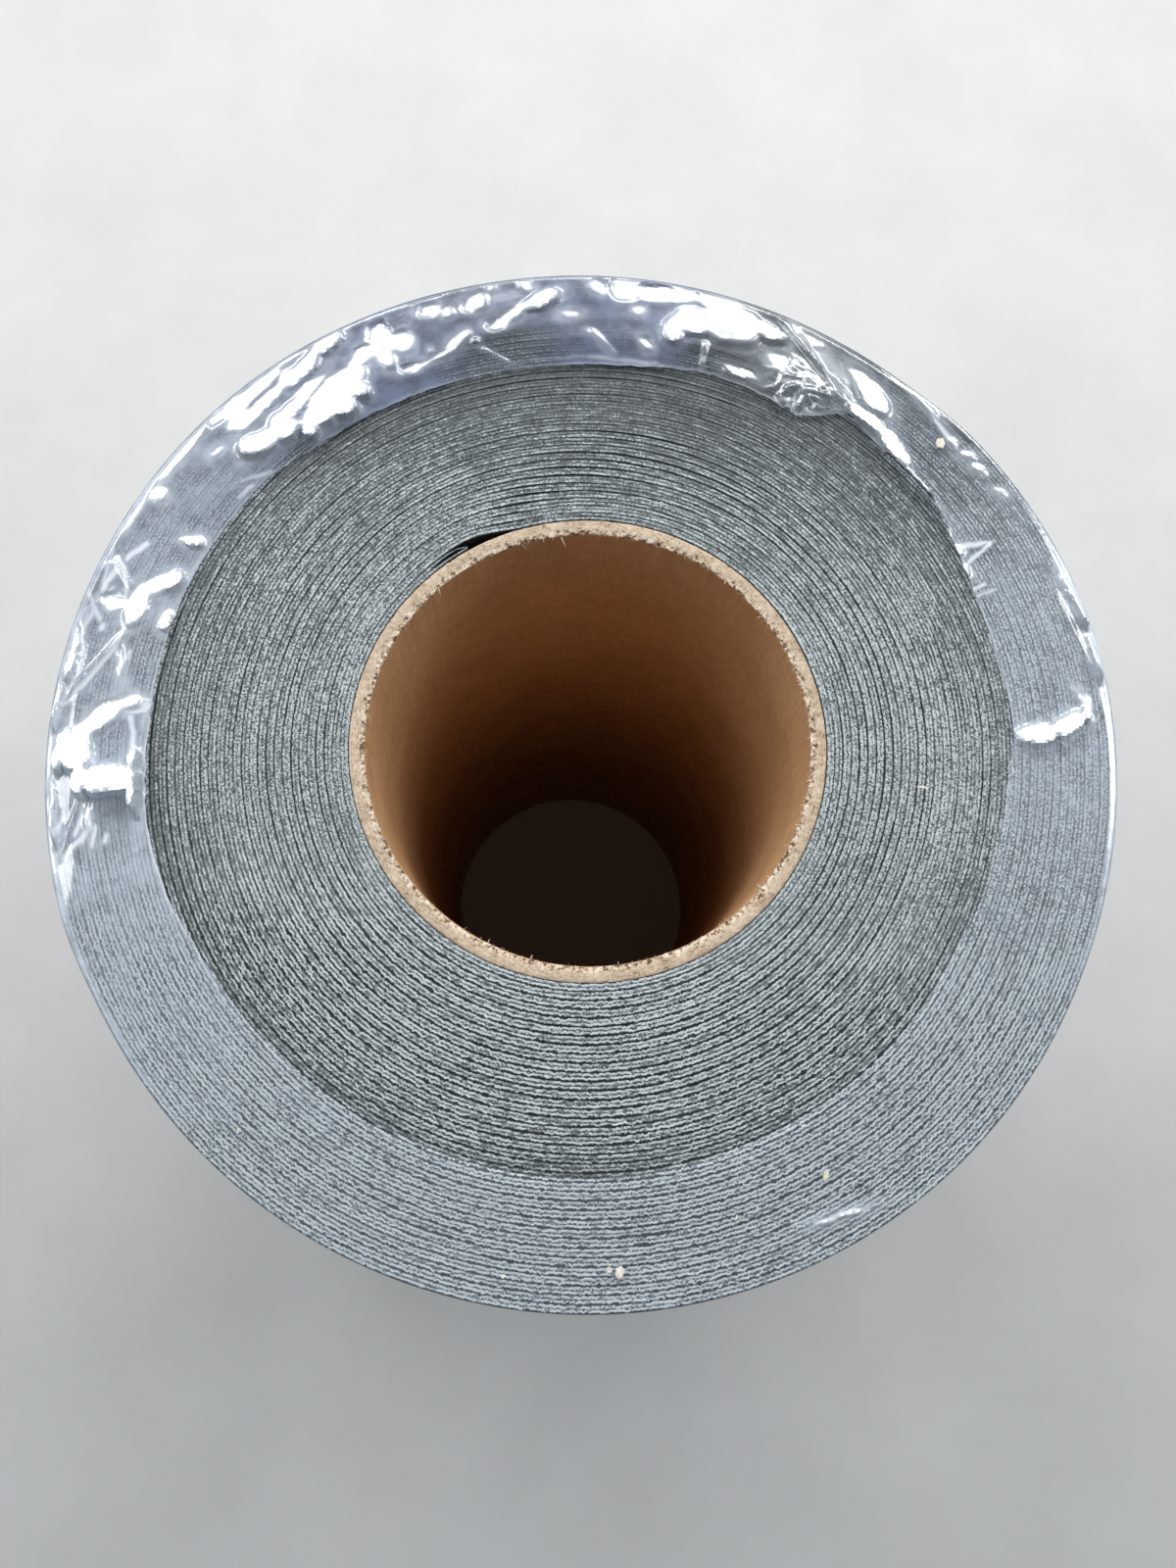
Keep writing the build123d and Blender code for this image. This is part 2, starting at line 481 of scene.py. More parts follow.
def clear_film():
    """Clear film: see-through and glossy, with a veil of haze and painted sky reflection where it
    stands off, and a painted highlight at its cut edge.
    """
    material, nodes = new_material("clear_film")
    place = nodes.place()
    # edge: how pale the film is painted at its cut edge and creases, with painted glints and glare
    # halos
    haze_and_reflection, dull, edge = nodes.stored("film")
    cloud = nodes.speckle(place, 5, 4.0, 0.65).climb(0.32, 0.68, 0.65, 1.35)
    veil_share = (haze_and_reflection * cloud + edge).at_most(0.92)
    # painted reflection: the veil of the film that stands off is painted with blue sky, and on the
    # far right with dark ground
    east = nodes.split(place)[0].climb(0.05 * ROLL_OUTER, 0.25 * ROLL_OUTER)
    painted_reflection_colour = nodes.blend_colours(east, (0.215, 0.255, 0.375, 1), (0.18, 0.20, 0.22, 1))
    veil_colour = nodes.blend_colours(dull, (0.74, 0.82, 0.93, 1), painted_reflection_colour)
    veil_colour = nodes.blend_colours(edge, veil_colour, (0.93, 0.97, 1.0, 1))
    clear = nodes.add("BsdfTransparent", {0: (0.97, 0.98, 0.99, 1)})
    veil = nodes.add("BsdfDiffuse", {0: veil_colour})
    body = nodes.add("MixShader", {0: veil_share, 1: clear, 2: veil})
    wrinkles = nodes.speckle(place, 1.3)
    bump = nodes.add("Bump", {"Strength": 0.25, "Distance": 0.15 * MM, "Height": wrinkles})
    gloss = {"Color": (1, 1, 1, 1), "Normal": bump, "Roughness": dull * 0.10 + 0.11}
    gloss = nodes.add("BsdfGlossy", gloss)
    # alike from both sides, so that the light that falls through isn't held back
    grazing = nodes.calc("POWER", nodes.add("LayerWeight", {"Blend": 0.5}, "Facing"), 5.0)
    share = (grazing * 2.0 + 0.13).at_most(0.85)
    nodes.surface(nodes.add("MixShader", {0: share, 1: body, 2: gloss}))
    return material


def wood_dust():
    material, nodes = new_material("wood_dust")
    tone = nodes.speckle(nodes.place(), 0.6)
    colour = nodes.ramp(tone, (0.3, (0.66, 0.60, 0.45)), (0.7, (0.95, 0.91, 0.80)))
    nodes.surface(nodes.principled(colour, 0.7))
    return material


# The strip
def turns_up(angle):
    """How many turns out a place on the spiral lies, for the angle wound since the fold.

    The first turn hugs the tube and climbs onto the fold over a short wedge, and each
    turn after it spreads the climb further, until the outer ones climb evenly.
    """
    turn = np.floor(angle / tau)
    share = angle / tau - turn
    climb = np.minimum(1.0, WEDGE_ANGLE / 360 * WEDGE_GROWTH**turn)
    even = smooth(turn / EVEN_TURNS)
    ramped = smooth((share - 1 + climb) / climb)
    return turn + ramped * (1 - even) + share * even


def out_of_round(degrees):
    """How much farther out the last turn lies at each angle, eased between the keyed places."""
    eased = [keyed(OUT_OF_ROUND, degrees + shift) for shift in (-6, -3, 0, 3, 6)]
    return np.mean(eased, axis=0) * MM


def ply_route(ply, last_angle, drop_angle, pair_pitch):
    """Points of one ply's middle line from the fold out, its angles and its turns."""
    length = ROLL_INNER * last_angle + pair_pitch * last_angle**2 / (2 * tau)
    walked = np.linspace(0, length, int(length / STATION_STEP))
    angle = (np.sqrt(ROLL_INNER**2 + 2 * pair_pitch * walked / tau) - ROLL_INNER) * tau / pair_pitch
    turns = turns_up(angle)
    radius = ROLL_INNER + pair_pitch * (0.5 + turns) + ply * PLY_SPACING / 2
    radius -= PLY_SPACING * smooth((angle - drop_angle) / radians(TAIL_DROP_ANGLE))
    # the hollow fold lifts the turns over it, less and less
    past_fold = (np.degrees(angle) + 180) % 360 - 180
    hump = np.where(
        past_fold < 0, smooth(1 + past_fold / WEDGE_ANGLE), smooth(1 - past_fold / FOLD_HUMP_ANGLE)
    )
    first = angle < pi
    if ply < 0:
        hump = np.where(first, 0, hump)
    else:
        nip = (FOLD_HUMP + PLY_SPACING - FOLD_THICKNESS) / FOLD_HUMP
        hump = np.where(first, hump - nip * np.exp(-past_fold / FOLD_NIP_ANGLE), hump)
    radius += FOLD_HUMP * hump * np.exp(-turns / FOLD_HUMP_TURNS)
    # the winding is a little uneven, alike for turns that lie together
    theta = angle + radians(FOLD_ANGLE)
    wound = smooth((radius - ROLL_INNER) / (ROLL_OUTER - ROLL_INNER))
    radius += out_of_round(np.degrees(theta)) * wound
    flat = np.stack([radius * np.cos(theta), radius * np.sin(theta)], axis=1)
    free = smooth((radius - ROLL_INNER) / (8 * MM))
    free *= smooth((LAST_RADIUS - 1 * MM - radius) / (5 * MM))
    radius += free * 0.30 * MM * field(flat, 30, 3)
    radius += free * 0.03 * MM * field(walked, 22, 5 + ply)
    points = np.stack([radius * np.cos(theta), radius * np.sin(theta)], axis=1)
    thickness = np.where(
        first,
        FOLD_THICKNESS + (STRIP_THICKNESS - FOLD_THICKNESS) * smooth(past_fold / FOLD_FLAT_ANGLE),
        STRIP_THICKNESS,
    )
    return points, turns, thickness


def fold_tip(inner, outer):
    """The round closed end of the fold, from the inner ply to the outer one."""
    centre = (inner + outer) / 2
    arm = inner - centre
    ahead = np.array([sin(radians(FOLD_ANGLE)), -cos(radians(FOLD_ANGLE))]) * np.linalg.norm(arm)
    steps = np.linspace(0, pi, 9)[1:-1, None]
    return centre + arm * np.cos(steps) + 1.3 * ahead * np.sin(steps)


def wound_strip(material):
    """The whole strip as one ribbon: in along the inner ply, round the fold, out again."""
    whole_turns = round((ROLL_OUTER - ROLL_INNER) / (2 * LAYER_PITCH))
    outer_last = tau * whole_turns + radians(OUTER_TAIL_ANGLE - FOLD_ANGLE)
    inner_last = tau * whole_turns + radians(INNER_TAIL_ANGLE - FOLD_ANGLE)
    pair_pitch = (LAST_RADIUS - ROLL_INNER) / (inner_last / tau + 1)
    inner, inner_turns, inner_thickness = ply_route(-1, inner_last, inner_last + 1, pair_pitch)
    outer, outer_turns, outer_thickness = ply_route(1, outer_last, inner_last, pair_pitch)
    tip = fold_tip(inner[0], outer[0])
    line = np.concatenate([inner[::-1], tip, outer])
    turns = np.concatenate([-inner_turns[::-1] - 1, np.zeros(len(tip)), outer_turns + 1])
    thickness = np.concatenate(
        [inner_thickness[::-1], np.full(len(tip), FOLD_THICKNESS), outer_thickness]
    )

    heading = np.gradient(line, axis=0)
    heading /= np.linalg.norm(heading, axis=1)[:, None]
    left = np.stack([-heading[:, 1], heading[:, 0]], axis=1)
    along = np.concatenate([[0], np.cumsum(np.linalg.norm(np.diff(line, axis=0), axis=1))])

    # how high each part of the strip was wound, and how its cut edge leans
    rise = 0.5 * field(line, 26, 1) + 0.45 * field(along, 260, 2)
    rise += 0.25 * field(along, 40, 4)
    middle = (roll_low.z + roll_high.z) / 2
    top = middle + STRIP_WIDTH / 2 + np.clip(rise, -1, 1) * (STAGGER / 2 - 0.05 * MM)
    lean = 0.07 * MM * (field(along, 6, 6) - 0.3)

    half = thickness[:, None] / 2 * left
    points = np.empty((len(line), 4, 3))
    points[:, (0, 3), :2] = (line + half)[:, None]
    points[:, (1, 2), :2] = (line - half)[:, None]
    points[:, :2, 2] = (top - STRIP_WIDTH)[:, None]
    points[:, 2, 2] = top - lean
    points[:, 3, 2] = top + lean
    faces = grid_faces(len(line), 4, closed_columns=True)
    last = 4 * (len(line) - 1)
    caps = [(0, 1, 2, 3), (last + 3, last + 2, last + 1, last)]
    faces = np.concatenate([faces, caps])
    piece = mesh_object("wound_strip", points.reshape(-1, 3), faces, material)

    # the place across the pair of plies, from its inner side to its outer one
    outwards = np.arange(len(line)) >= len(inner) + len(tip) // 2
    places = np.empty((len(line), 4, 3))
    places[:, :, 0] = along[:, None]
    places[:, :, 1] = np.where(outwards[:, None], (0.5, 1.0, 1.0, 0.5), (0.5, 0.0, 0.0, 0.5))
    places[:, :, 2] = (np.floor(turns) * 3.7 * MM)[:, None]
    store(piece, "strip", places)
    corner_degrees = np.degrees(np.arctan2(points[..., 1], points[..., 0]))
    reach = np.hypot(points[..., 0], points[..., 1])
    # how far the film covers it, and how near it lies to the film's inner edge, where a painted
    # shadow of that edge darkens it
    past_edge = (reach - keyed(FILM_EDGE, corner_degrees) * ROLL_OUTER) / MM
    covered = smooth(past_edge / 0.5 + 0.5)
    beside = smooth(1 + past_edge / 4.5) * (1 - covered)
    store(piece, "film_cover_and_shadow", np.stack([covered, beside, 0 * beside], axis=-1))
    return piece


# The tube
TUBE_COLUMNS = 1440
SMALL_FIBRES = 300


def paper_tube(material):
    """The tube, with a rough rim and fuzz torn inwards at both cut ends."""
    theta = np.arange(TUBE_COLUMNS) * tau / TUBE_COLUMNS
    circle = np.stack([np.cos(theta), np.sin(theta), 0 * theta], axis=1)

    def ring(radius, height):
        row = circle * np.reshape(radius, (-1, 1))
        row[:, 2] = height
        return row

    ends = []
    for end, sign in ((core_high.z, 1), (core_low.z, -1)):
        bore = circle * CORE_BORE
        teeth = field(bore, 1.2, 20 + sign) + 0.6 * field(bore, 0.5, 24 + sign)
        tufts = np.clip(field(bore, 5, 30 + sign), 0, 1)
        lip = CORE_BORE + (0.30 + 0.42 * teeth - 0.75 * tufts * (0.6 + teeth)) * MM
        lip = np.clip(lip, CORE_BORE - 0.35 * MM, CORE_BORE + 0.9 * MM)
        rim = []
        for share in (0, 0.1, 0.25, 0.4, 0.55, 0.7, 0.85, 1):
            radius = CORE_OUTER + (lip - CORE_OUTER) * share
            level = ring(radius, 0.0)
            bumps = field(level, 1.1, 40 + sign) + 0.5 * field(level, 0.5, 42)
            droop = 0.22 * MM * smooth((share - 0.6) / 0.4) + 0.12 * MM * (share == 0)
            rim.append(ring(radius, end + sign * (0.11 * MM * (bumps - 1.2) - droop)))
        rim.append(ring((lip + CORE_BORE) / 2, end - sign * (0.55 + 0.2 * teeth) * MM))
        rim.append(ring(CORE_BORE, end - sign * (1.1 + 0.3 * teeth) * MM))
        ends.append(rim)
    top_rim, bottom_rim = ends
    down = np.linspace(0, 1, 12)[1:-1]
    wall = [ring(CORE_BORE, core_high.z + (core_low.z - core_high.z) * s) for s in down]
    up = (0.1, 0.5, 0.9)
    outside = [ring(CORE_OUTER, core_low.z + (core_high.z - core_low.z) * s) for s in up]
    everything = top_rim + wall + bottom_rim[::-1] + outside
    faces = grid_faces(len(everything), TUBE_COLUMNS, closed_rows=True, closed_columns=True)
    return mesh_object("paper_tube", np.concatenate(everything), faces, material)


# Long fibres that show in the photograph: angle, length and lean in mm
LONG_FIBRES = [
    (104.4, 2.1, -0.3), (103.6, 0.8, 0.2), (115.0, 1.1, -0.4), (140.2, 1.3, 0.5),
    (154.0, 0.8, -0.3), (262.0, 0.9, 0.4), (251.0, 0.8, -0.2), (284.0, 0.7, 0.3), (44.0, 0.7, 0.2),
]


def torn_fibres(material):
    """Loose paper fibres that stand off the torn edge of the bore at both ends."""
    kinds = [(core_high.z, 1, *fibre, 0.16) for fibre in LONG_FIBRES]
    for index in range(SMALL_FIBRES):
        end, sign = ((core_high.z, 1), (core_low.z, -1))[index % 2]
        length = rng.choice([0.25, 0.4, 0.65, 1.0], p=[0.45, 0.35, 0.16, 0.04])
        angle, lean, width = rng.uniform(0, 360), rng.uniform(-0.35, 0.35), rng.uniform(0.05, 0.11)
        kinds.append((end, sign, angle, length, lean, width))
    points, faces = [], []
    for end, sign, angle, length, lean, width in kinds:
        out = Vector((cos(radians(angle)), sin(radians(angle)), 0))
        side = Vector((-out.y, out.x, 0))
        height = end - sign * rng.uniform(0.2, 0.6) * MM
        root = out * (CORE_BORE + 0.35 * MM) + Vector((0, 0, height))
        aim = (-out + side * lean + Vector((0, 0, -sign * rng.uniform(0.0, 0.5)))).normalized()
        length = (length + 0.3) * MM
        bend = side * rng.uniform(-0.25, 0.25) * length
        base = len(points)
        for share, size in ((0.0, 1.0), (0.5, 0.75), (1.0, 0.2)):
            middle = root + aim * length * share + bend * share * share
            for turn in range(3):
                spread = side * cos(turn * tau / 3) + Vector((0, 0, sin(turn * tau / 3)))
                points.append(middle + spread * width * MM * size)
        for row in range(2):
            for turn in range(3):
                a, b = base + row * 3 + turn, base + row * 3 + (turn + 1) % 3
                faces.append((a, b, b + 3, a + 3))
        faces.append((base, base + 2, base + 1))
        faces.append((base + 6, base + 7, base + 8))
    return mesh_object("torn_fibres", points, faces, material)


# The film
def end_place(angle, share):
    """A place on the roll's end, from an angle and a share of the radius."""
    return np.array([cos(radians(angle)), sin(radians(angle))]) * share * ROLL_OUTER


def ridge(places, start, end, height, width, taper=0.15):
    """A round crease between two places on the end, with its height and width in mm."""
    a, b = end_place(*start), end_place(*end)
    along = np.clip(((places - a) @ (b - a)) / ((b - a) @ (b - a)), 0, 1)
    away = np.linalg.norm(places - a - along[:, None] * (b - a), axis=1) / MM
    fade = smooth(along / taper) * smooth((1 - along) / taper) if taper else 1.0
    return height * fade * np.exp(-((away / width) ** 2)) * MM


def direction(azimuth, elevation):
    """The unit vector at two angles in radians."""
    return Vector((cos(elevation) * cos(azimuth), cos(elevation) * sin(azimuth), sin(elevation)))


def lamp_directions(azimuth, elevation, half_angles):
    """Directions spread over the middle part of a lamp, seen from the roll's end."""
    return [
        (radians(azimuth + 0.55 * a * half_angles[0] / cos(radians(elevation))),
         radians(elevation + 0.55 * b * half_angles[1]))
        for a in (-1, 0, 1) for b in (-1, 0, 1)
    ]


def glare_slopes(place):
    """The slopes of the film that show a lamp to the camera, at a place on the end."""
    towards_camera = (CAMERA_PLACE - Vector((*place, FILM_TOP))).normalized()
    slopes = []
    for lamp in KEY_LAMPS:
        for azimuth, elevation in lamp_directions(*lamp[1:4]):
            away = direction(azimuth, elevation) * LAMP_DISTANCE
            half = towards_camera + (away - Vector((*place, 0))).normalized()
            slopes.append(np.array([-half.x, -half.y]) / half.z)
    return slopes


def slack_height(degrees, share):
    """How far slack film stands off at an angle and a share of its width, in mm."""
    return 0.85 * keyed(FILM_SLACK, degrees) * smooth(share / 0.30)


def shining_mass(shapes):
    """Patches that share one flat plane, with the gentlest slope that shows a lamp.

    It gives the middle, direction and half sizes of each patch, and the plane's middle,
    slope and height there.
    """
    patches, corners = [], []
    for *places, width in shapes:
        a, b = end_place(*places[:2]), end_place(*places[2:])
        unit = (b - a) / np.linalg.norm(b - a)
        side = np.array([-unit[1], unit[0]])
        half_width = 0.57 * width * MM  # its soft edge doesn't shine
        half_length = np.linalg.norm(b - a) / 2 + 0.35 * half_width
        patches.append(((a + b) / 2, unit, side, half_length, half_width))
        corners += [
            (a + b) / 2 + i * unit * half_length + j * side * half_width
            for i in (-1, 1) for j in (-1, 1)
        ]
    middle = np.mean(corners, axis=0)
    spread = np.array(corners) - middle
    slope = min(glare_slopes(middle), key=lambda s: np.ptp(spread @ s))
    lift = 0.1 * MM - np.min(spread @ slope)
    angle = np.degrees(np.arctan2(middle[1], middle[0])) % 360
    across = (np.linalg.norm(middle) / ROLL_OUTER - FILM_REACH) / FILM_BAND
    return patches, middle, slope, max(lift, float(slack_height(angle, across)) * MM)


# Masses of the slack film that shine in the photograph, each of patches in one plane: the angle and
# radius share of a patch's start and of its end, and its width in mm
SHINING = [
    # the left block, its base, head and arm
    [
        (192.6, 0.836, 192.4, 0.925, 4.8), (196.9, 0.838, 190.8, 0.84, 1.5),
        (191.3, 0.838, 188.7, 0.838, 1.5), (190.8, 0.945, 186.1, 0.942, 4.4),
        (186.7, 0.939, 182.6, 0.876, 3.7), (183.1, 0.886, 182.2, 0.849, 2.6),
        (193.9, 0.935, 190.8, 0.935, 2.1), (190.8, 0.978, 186.1, 0.974, 1.8),
    ],
    [(198.3, 0.989, 191.0, 0.993, 1.1)], [(197.5, 0.927, 194.4, 0.927, 1.1)],
    [(185.8, 0.991, 180.8, 0.987, 1.1), (180.8, 0.984, 174.4, 0.987, 1.5)],
    # the second body with its neck and leg
    [
        (172.5, 0.896, 167.4, 0.895, 3.5), (170.2, 0.918, 170.6, 0.956, 2.6),
        (168.1, 0.896, 165.0, 0.844, 3.5),
    ],
    [(166.4, 0.984, 166.0, 0.971, 1.3)], [(172.2, 0.836, 169.4, 0.837, 2.0)],
    [(178.9, 0.885, 175.8, 0.899, 1.1)], [(160.0, 0.876, 159.2, 0.842, 2.5)],
    [
        (157.1, 0.983, 156.5, 0.951, 2.0), (155.0, 0.984, 146.7, 0.986, 2.0),
        (162.1, 0.988, 157.7, 0.989, 1.3),
    ],
    [(149.1, 0.929, 147.8, 0.929, 1.4)],
    # the great mass at the upper left
    [
        (146.4, 0.983, 136.1, 0.981, 2.3), (143.5, 0.963, 143.5, 0.925, 4.0),
        (144.3, 0.927, 136.5, 0.942, 2.3), (136.7, 0.942, 131.0, 0.959, 3.2),
        (131.5, 0.961, 127.8, 0.978, 2.9),
    ],
    [
        (146.7, 0.89, 141.6, 0.868, 3.8), (141.5, 0.883, 132.3, 0.915, 2.6),
        (142.0, 0.864, 138.8, 0.864, 3.8), (138.0, 0.841, 127.9, 0.883, 5.8),
        (138.0, 0.836, 138.0, 0.812, 2.9), (133.9, 0.837, 131.0, 0.822, 2.9),
        (130.5, 0.849, 128.3, 0.841, 3.2), (128.8, 0.9, 125.1, 0.925, 3.2),
        (123.6, 0.957, 123.6, 0.924, 4.3), (124.2, 0.915, 124.1, 0.864, 2.8),
        (121.2, 0.921, 121.2, 0.886, 3.1), (123.5, 0.925, 121.3, 0.908, 2.8),
    ],
    [
        (123.1, 0.848, 120.2, 0.847, 1.7), (120.5, 0.847, 116.2, 0.847, 1.1),
        (116.3, 0.853, 113.5, 0.876, 2.6), (114.1, 0.876, 112.7, 0.883, 2.3),
        (112.6, 0.859, 111.9, 0.859, 1.1),
    ],
    [(118.6, 0.866, 118.2, 0.866, 1.2)],
    [(109.7, 0.886, 104.9, 0.915, 2.8), (105.2, 0.915, 100.9, 0.94, 3.0)],
    [(117.6, 0.957, 115.7, 0.951, 2.6), (115.1, 0.932, 114.1, 0.932, 1.8)],
    [(112.4, 0.94, 109.9, 0.94, 2.8)], [(109.1, 0.969, 108.2, 0.969, 1.7)],
    [(104.9, 0.966, 103.8, 0.963, 2.6)], [(100.3, 0.892, 98.0, 0.892, 1.7)],
    [(96.6, 0.959, 94.7, 0.957, 3.1)],
    # the long band and the shield
    [
        (93.6, 0.959, 91.1, 0.959, 4.3), (91.0, 0.959, 82.9, 0.961, 3.1),
        (82.9, 0.963, 79.4, 0.957, 4.4), (85.6, 0.898, 85.5, 0.853, 4.0),
        (85.6, 0.9, 79.7, 0.912, 4.9), (81.8, 0.921, 75.7, 0.918, 7.2),
        (76.2, 0.927, 71.5, 0.929, 2.8),
    ],
    [(91.1, 0.911, 90.0, 0.913, 2.3)], [(89.4, 0.849, 88.3, 0.828, 1.8)],
    [(77.5, 0.831, 72.7, 0.831, 2.3)], [(72.2, 0.885, 69.9, 0.885, 2.5)],
    [(71.4, 0.976, 70.3, 0.954, 1.8)], [(69.5, 0.957, 67.3, 0.952, 1.8)],
    # the twisted band
    [
        (62.4, 0.944, 55.9, 0.908, 3.2), (64.8, 0.898, 59.9, 0.876, 1.8),
        (60.2, 0.876, 54.3, 0.868, 2.8), (55.1, 0.871, 48.7, 0.849, 2.8),
        (49.2, 0.843, 42.2, 0.838, 1.2), (42.8, 0.835, 37.9, 0.824, 1.0),
    ],
    [(54.1, 0.982, 51.0, 0.974, 1.0)], [(47.9, 0.959, 47.1, 0.961, 1.1)],
    [(45.5, 0.954, 44.4, 0.972, 1.1)], [(43.5, 0.956, 42.2, 0.966, 1.4)],
    [(39.7, 0.957, 38.7, 0.972, 1.1)], [(35.6, 0.822, 34.4, 0.823, 1.5)],
    [(32.8, 0.817, 31.4, 0.814, 1.2)],
    [
        (9.9, 0.937, 8.5, 0.883, 3.1), (8.4, 0.883, 7.5, 0.809, 3.1),
        (12.5, 0.947, 11.1, 0.954, 1.1), (11.3, 0.952, 9.5, 0.947, 1.5),
    ],
    [(26.6, 0.99, 20.6, 0.991, 1.6)], [(19.6, 0.99, 14.4, 0.99, 1.4)],
    [(306.4, 0.962, 304.0, 0.953, 0.7)], [(303.2, 0.953, 301.4, 0.946, 0.7)],
]


# Pale creases in the film, and painted glints where it shines in thin lines, by how pale: angle and
# radius share of the start and of the end, and width in mm
PALE_CREASES_AND_GLINTS = {
    0.9: [
        (183.5, 0.979, 181.0, 0.954, 0.41), (181.1, 0.954, 178.4, 0.93, 0.41),
        (178.4, 0.929, 176.0, 0.91, 0.41), (176.1, 0.91, 172.7, 0.9, 0.5),
        (183.5, 0.861, 183.2, 0.829, 0.41), (182.6, 0.856, 182.6, 0.825, 0.41),
        (181.8, 0.859, 181.8, 0.827, 0.36), (34.1, 0.891, 34.6, 0.87, 0.36),
        (34.6, 0.87, 35.1, 0.849, 0.41), (35.1, 0.849, 35.5, 0.824, 0.54),
        (34.0, 0.886, 33.6, 0.853, 0.32), (33.6, 0.853, 33.0, 0.827, 0.36),
    ],
    0.85: [
        (200.3, 0.978, 198.7, 0.945, 0.41), (198.9, 0.942, 197.3, 0.927, 0.54),
        (198.1, 0.952, 195.5, 0.935, 0.36), (195.6, 0.935, 193.4, 0.932, 0.41),
        (189.1, 0.846, 186.7, 0.847, 0.45), (186.7, 0.847, 184.3, 0.853, 0.41),
        (165.1, 0.951, 162.6, 0.93, 0.45),
    ],
    0.8: [
        (12.6, 0.955, 9.6, 0.962, 0.5), (67.1, 0.827, 66.2, 0.844, 0.23),
        (64.5, 0.812, 64.7, 0.795, 0.23), (68.5, 0.804, 67.5, 0.809, 0.23),
        (67.5, 0.809, 67.1, 0.793, 0.23), (198.2, 0.991, 196.1, 0.972, 0.41),
        (199.6, 0.924, 197.5, 0.914, 0.36), (169.7, 0.967, 168.5, 0.969, 0.5),
        (168.5, 0.969, 167.0, 0.961, 0.5), (170.3, 0.918, 167.8, 0.932, 0.32),
        (167.8, 0.932, 166.3, 0.949, 0.32), (166.3, 0.949, 165.7, 0.967, 0.41),
        (50.9, 0.967, 49.5, 0.962, 0.36), (49.5, 0.962, 47.9, 0.957, 0.36),
        (29.4, 0.832, 29.2, 0.807, 0.36), (12.6, 0.945, 11.1, 0.956, 0.59),
    ],
    0.7: [
        (44.0, 0.838, 37.6, 0.817, 0.4), (55.0, 0.988, 46.5, 0.955, 0.4),
        (26.8, 0.996, 19.0, 1.0, 0.6), (304.4, 0.952, 301.2, 0.946, 0.4),
        (66.2, 0.844, 64.8, 0.853, 0.18), (60.2, 0.861, 61.2, 0.844, 0.27),
        (61.2, 0.844, 62.6, 0.822, 0.27), (62.6, 0.822, 64.3, 0.812, 0.27),
        (197.5, 0.925, 194.4, 0.927, 0.63), (199.6, 0.901, 198.8, 0.896, 0.36),
        (177.0, 0.877, 176.0, 0.879, 0.36), (173.9, 0.945, 173.6, 0.945, 0.54),
        (37.9, 0.819, 30.9, 0.809, 0.36),
    ],
    0.6: [
        (191.4, 0.908, 187.2, 0.93, 0.35), (189.5, 0.99, 187.0, 0.955, 0.4),
        (186.8, 0.99, 180.0, 0.972, 0.35), (19.0, 1.0, 14.0, 0.998, 0.5),
        (306.6, 0.965, 304.2, 0.952, 0.4), (67.9, 0.864, 64.8, 0.869, 0.18),
        (64.8, 0.869, 62.4, 0.878, 0.18), (65.3, 0.832, 64.1, 0.829, 0.18),
        (64.1, 0.829, 62.4, 0.837, 0.18), (66.9, 0.827, 67.4, 0.807, 0.23),
        (72.2, 0.861, 67.9, 0.868, 0.23), (69.5, 0.841, 66.8, 0.853, 0.23),
        (61.6, 0.891, 54.0, 0.868, 0.63), (54.6, 0.866, 48.4, 0.847, 0.45),
        (48.7, 0.844, 37.9, 0.822, 0.36), (173.0, 0.954, 171.4, 0.976, 0.45),
        (171.4, 0.976, 170.3, 0.994, 0.45), (28.1, 0.847, 28.2, 0.809, 0.32),
    ],
    0.5: [
        (192.5, 0.985, 188.5, 0.978, 0.4), (182.0, 0.995, 178.6, 0.982, 0.35),
        (176.6, 0.985, 171.6, 0.968, 0.35), (172.4, 0.985, 168.8, 0.95, 0.35),
        (168.4, 0.975, 164.6, 0.985, 0.35), (151.5, 0.835, 149.0, 0.832, 0.4),
        (68.0, 0.809, 65.9, 0.804, 0.23), (64.2, 0.942, 61.0, 0.896, 0.36),
        (62.9, 0.951, 59.9, 0.9, 0.32), (13.8, 0.93, 12.4, 0.947, 0.41),
    ],
    0.45: [(67.5, 0.938, 62.1, 0.917, 1.8)],
    0.4: [
        (149.5, 0.852, 146.0, 0.826, 0.35), (24.0, 0.975, 19.6, 0.992, 0.35),
        (13.6, 0.945, 12.4, 0.958, 0.4), (72.4, 0.836, 68.4, 0.849, 0.18),
        (71.2, 0.959, 66.9, 0.942, 1.8),
    ],
    0.35: [
        (91.2, 0.957, 82.9, 0.959, 1.53), (162.1, 0.986, 146.7, 0.986, 0.99),
        (96.9, 0.802, 87.2, 0.8, 0.45), (86.7, 0.798, 69.0, 0.8, 0.27),
        (80.6, 0.866, 80.7, 0.803, 0.45), (190.8, 0.959, 185.9, 0.946, 0.72),
    ],
    0.3: [
        (117.6, 0.955, 115.7, 0.951, 1.35), (112.7, 0.94, 103.3, 0.959, 1.17),
        (109.8, 0.934, 104.4, 0.947, 0.63), (81.3, 0.959, 78.6, 0.925, 1.8),
        (146.7, 0.983, 136.5, 0.983, 1.17), (145.1, 0.946, 143.5, 0.921, 1.35),
        (197.2, 0.836, 189.1, 0.834, 0.63), (189.1, 0.834, 181.6, 0.831, 0.36),
        (169.3, 0.831, 160.1, 0.829, 0.32), (174.1, 0.984, 170.3, 0.972, 0.72),
    ],
    0.25: [
        (97.2, 0.862, 93.0, 0.8, 0.8), (81.2, 0.872, 80.4, 0.81, 0.6),
        (111.9, 0.804, 96.9, 0.804, 0.27),
    ],
    0.22: [(112.4, 0.85, 108.4, 0.795, 0.9)],
    0.15: [(58.6, 0.976, 57.8, 0.942, 0.54)],
}


